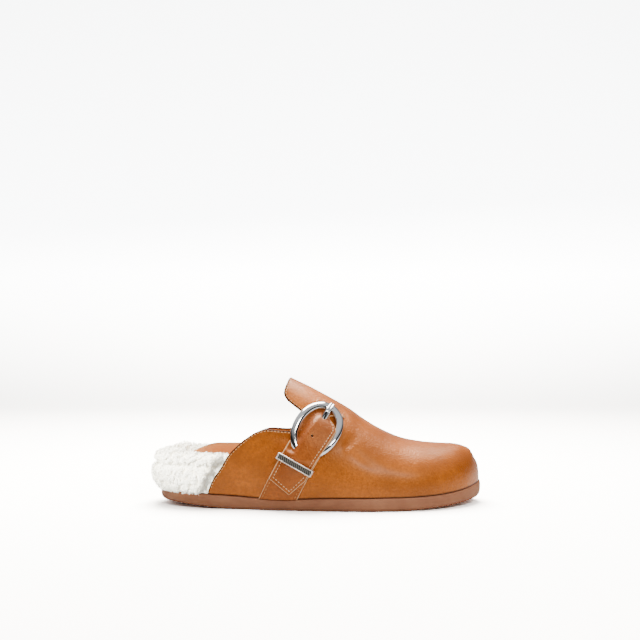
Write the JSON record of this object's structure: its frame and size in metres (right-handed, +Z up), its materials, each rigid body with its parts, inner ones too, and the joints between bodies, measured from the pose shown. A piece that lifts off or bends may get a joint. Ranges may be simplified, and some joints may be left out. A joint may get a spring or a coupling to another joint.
{
  "type": "fur-lined buckled mule",
  "caption": "Right-foot leather mule with a round toe, a strap through an oval buckle, a cream fleece heel rim and a flat rubber sole.",
  "frame": {"origin": "middle of the shoe's box, on the floor", "axes": "+X to the toe, +Y to the inner side, +Z up"},
  "size_m": [0.2646, 0.1028, 0.1009],
  "materials": {
    "sole_rubber": "matt brown-pink rubber",
    "bed_fabric": "short cream pile",
    "patch_leather": "smooth light tan",
    "fleece": "deep cream curls",
    "upper_leather": "smooth tan, soft gloss",
    "strap_leather": "smooth tan, raw cut edge",
    "silver": "polished",
    "inlay": "dark, ribbed"
  },
  "bodies": {
    "root": {"outsole": "sole_rubber", "footbed": "bed_fabric", "heel_patch": "patch_leather", "heel_fur": "fleece", "upper": "upper_leather", "base_strap": "strap_leather", "long_strap": "strap_leather", "buckle_ring": "silver", "prong": "silver", "keeper": "silver", "keeper_inlay": "inlay"}
  },
  "joints": []
}
